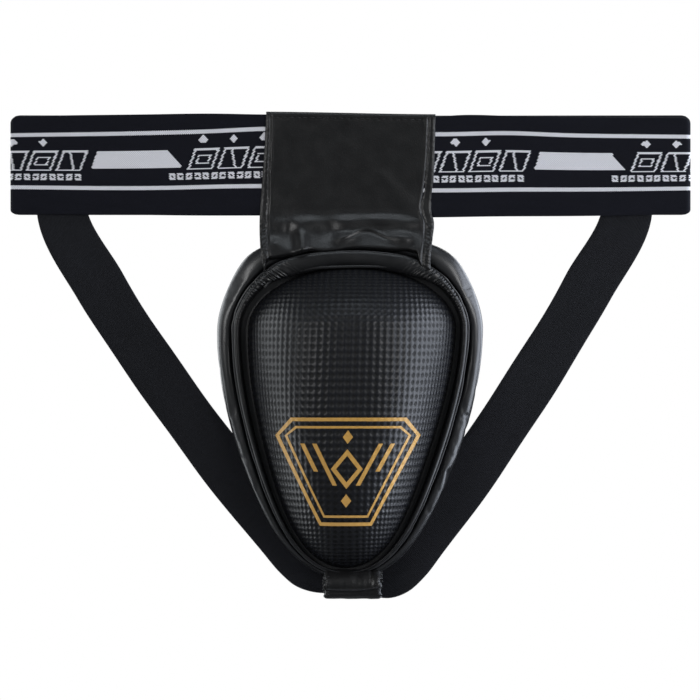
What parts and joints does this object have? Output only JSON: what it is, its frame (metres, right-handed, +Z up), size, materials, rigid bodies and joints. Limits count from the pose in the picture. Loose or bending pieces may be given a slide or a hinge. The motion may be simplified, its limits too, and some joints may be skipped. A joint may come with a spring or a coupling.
{
  "type": "groin protector",
  "caption": "Hard cup in a padded leather rim, hung by a leather tab from an elastic waistband with elastic leg straps.",
  "frame": {"origin": "middle of the waist opening, at half the height of the waistband", "axes": "+X along the flattened waistband to the right of the front view, +Y towards the wearer, +Z up along the waist opening's axis"},
  "size_m": [0.3448, 0.0711, 0.2476],
  "materials": {
    "knit_band": "navy-black knitted elastic with woven white lines",
    "tab_leather": "glossy smooth black synthetic leather",
    "roll_leather": "semi-gloss black synthetic leather",
    "cup_leather": "satin black, embossed with a woven pattern",
    "strap_elastic": "ribbed black elastic webbing",
    "thread": "black sewing thread",
    "shell_plastic": "moulded hard plastic",
    "foam": "closed-cell foam under a knitted liner",
    "lining": "black lining cloth",
    "gold_print": "gold screen print",
    "hook": "hook side of hook-and-loop",
    "loop": "loop side of hook-and-loop",
    "cord_core": "twisted cotton piping cord"
  },
  "bodies": {
    "belt": {"waistband_front": "knit_band", "tab_front_panel": "tab_leather", "tab_back_panel": "tab_leather", "tab_binding_left": "tab_leather", "tab_binding_right": "tab_leather", "tab_top_stitches": "thread", "tab_side_stitches": "thread", "strap_end_left": "strap_elastic", "strap_end_right": "strap_elastic", "strap_tack_stitches": "thread"},
    "cup": {"tab_neck": "tab_leather", "neck_binding_left": "tab_leather", "neck_binding_right": "tab_leather", "cup_shell": "shell_plastic", "cup_cover": "cup_leather", "cup_foam_liner": "foam", "emblem_print": "gold_print", "piping_cover": "roll_leather", "piping_cord": "cord_core", "outer_roll_cover": "roll_leather", "outer_roll_foam": "foam", "rim_back_lining": "lining", "rim_stitches": "thread", "leg_strap_left": "strap_elastic", "leg_strap_right": "strap_elastic", "bottom_tunnel": "tab_leather", "bottom_tack_stitches": "thread"},
    "rear_left": {"waistband_rear_left": "knit_band", "closure_base": "strap_elastic", "closure_stitches": "thread"},
    "closure": {"closure_tab": "strap_elastic", "hook_pad": "hook"},
    "rear_right": {"waistband_rear_right": "knit_band", "loop_pad": "loop"}
  },
  "joints": [
    {"name": "cup_fold", "type": "hinge", "parent": "belt", "child": "cup", "pos_m": [0, -0.0088, -0.0254], "axis": [1, 0, 0], "range_deg": [-100, 35]},
    {"name": "rear_left_fold", "type": "hinge", "parent": "belt", "child": "rear_left", "pos_m": [-0.17354, 0, 0], "axis": [0, 0, 1], "range_deg": [0, 180]},
    {"name": "rear_right_fold", "type": "hinge", "parent": "belt", "child": "rear_right", "pos_m": [0.17354, 0, 0], "axis": [0, 0, 1], "range_deg": [-180, 0]},
    {"name": "closure_peel", "type": "hinge", "parent": "rear_left", "child": "closure", "pos_m": [0.004, 0.0108, 0], "axis": [0, 0, 1], "range_deg": [0, 160]}
  ],
  "couplings": [
    {"joint": "rear_right_fold", "follows": "rear_left_fold", "ratio": -1}
  ]
}
